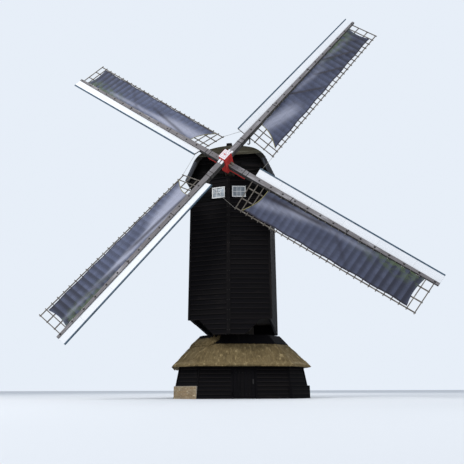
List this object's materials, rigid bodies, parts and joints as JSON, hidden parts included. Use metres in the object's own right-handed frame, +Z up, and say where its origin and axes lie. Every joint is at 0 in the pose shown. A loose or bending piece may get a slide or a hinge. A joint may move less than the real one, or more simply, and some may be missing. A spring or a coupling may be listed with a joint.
{
  "type": "post mill",
  "caption": "Boarded post mill with a thatched round-house and cloth-spread lattice sails that turn; the body turns on its post.",
  "frame": {"origin": "axis of the great post at ground level", "axes": "+Z up along the post, sails towards -Y, +X to the right seen from the front"},
  "size_m": [19.7196, 14.6205, 21.5513],
  "materials": {
    "brick": "weathered tan brickwork",
    "oak_beams": "old dark oak, adze finished",
    "tarred_boards": "tarred weatherboards, dry and slightly worn",
    "floor_planks": "bare worn planks",
    "thatch": "weathered water reed",
    "roof_boards": "tarred roof boards",
    "weathered_fascia": "olive brown weathered boards",
    "white_paint": "white painted timber",
    "window_glass": "old clear window glass",
    "bearing_stone": "smooth bluestone",
    "shaft_timber": "dark greased timber",
    "poll_paint": "red and white gloss paint, weathered",
    "weathered_stock": "grey weathered timber with dark sides",
    "board_paint": "white painted boards with a dark edge lath",
    "rope": "twisted hemp",
    "lattice_timber": "weathered laths",
    "sail_canvas": "slate blue tanned canvas, stained"
  },
  "bodies": {
    "base": {"brick_piers": "brick", "lower_cross_tree": "oak_beams", "upper_cross_tree": "oak_beams", "quarter_bars": "oak_beams", "main_post": "oak_beams", "post_saddle": "oak_beams", "base_front_wall_left": "tarred_boards", "base_front_wall_right": "tarred_boards", "base_right_wall": "tarred_boards", "base_back_wall": "tarred_boards", "base_left_wall": "tarred_boards", "base_corner_walls": "tarred_boards", "base_door_frame": "tarred_boards", "thatch_roof": "thatch", "roof_collar": "tarred_boards"},
    "door": {"base_door": "tarred_boards"},
    "mill_body": {"crown_tree": "oak_beams", "floor_beams": "oak_beams", "lower_floor": "floor_planks", "upper_floor": "floor_planks", "left_wall": "tarred_boards", "right_wall": "tarred_boards", "rear_wall": "tarred_boards", "rear_door": "tarred_boards", "front_wall_left": "tarred_boards", "front_wall_right": "tarred_boards", "window_frames": "white_paint", "window_glass": "window_glass", "front_cover_boards": "tarred_boards", "front_shelf": "tarred_boards", "weather_beam": "oak_beams", "neck_bearing": "bearing_stone", "tail_beam": "oak_beams", "roof": "roof_boards", "front_gable": "tarred_boards", "rear_gable": "tarred_boards", "front_fascia": "weathered_fascia", "tail_pole": "oak_beams"},
    "rotor": {"windshaft": "shaft_timber", "poll_end": "poll_paint", "outer_stock": "weathered_stock", "inner_stock": "weathered_stock", "stock_braces": "poll_paint", "leading_boards": "board_paint", "sail_ropes": "rope", "sail_lattice_1": "lattice_timber", "sail_lattice_2": "lattice_timber", "sail_lattice_3": "lattice_timber", "sail_lattice_4": "lattice_timber", "sail_cloth_1": "sail_canvas", "sail_cloth_2": "sail_canvas", "sail_cloth_3": "sail_canvas", "sail_cloth_4": "sail_canvas"}
  },
  "joints": [
    {"name": "body_turn", "type": "hinge", "parent": "base", "child": "mill_body", "pos_m": [0, 0, 6.9], "axis": [0, 0, 1], "continuous": true},
    {"name": "sail_turn", "type": "hinge", "parent": "mill_body", "child": "rotor", "pos_m": [0, -4.09, 11.93], "axis": [0, -0.9748, 0.2233], "continuous": true},
    {"name": "door_swing", "type": "hinge", "parent": "base", "child": "door", "pos_m": [0.23495, -3.35153, 0.20552], "axis": [-0.0436, 0.1887, 0.9811], "range_deg": [-95, 0]}
  ]
}
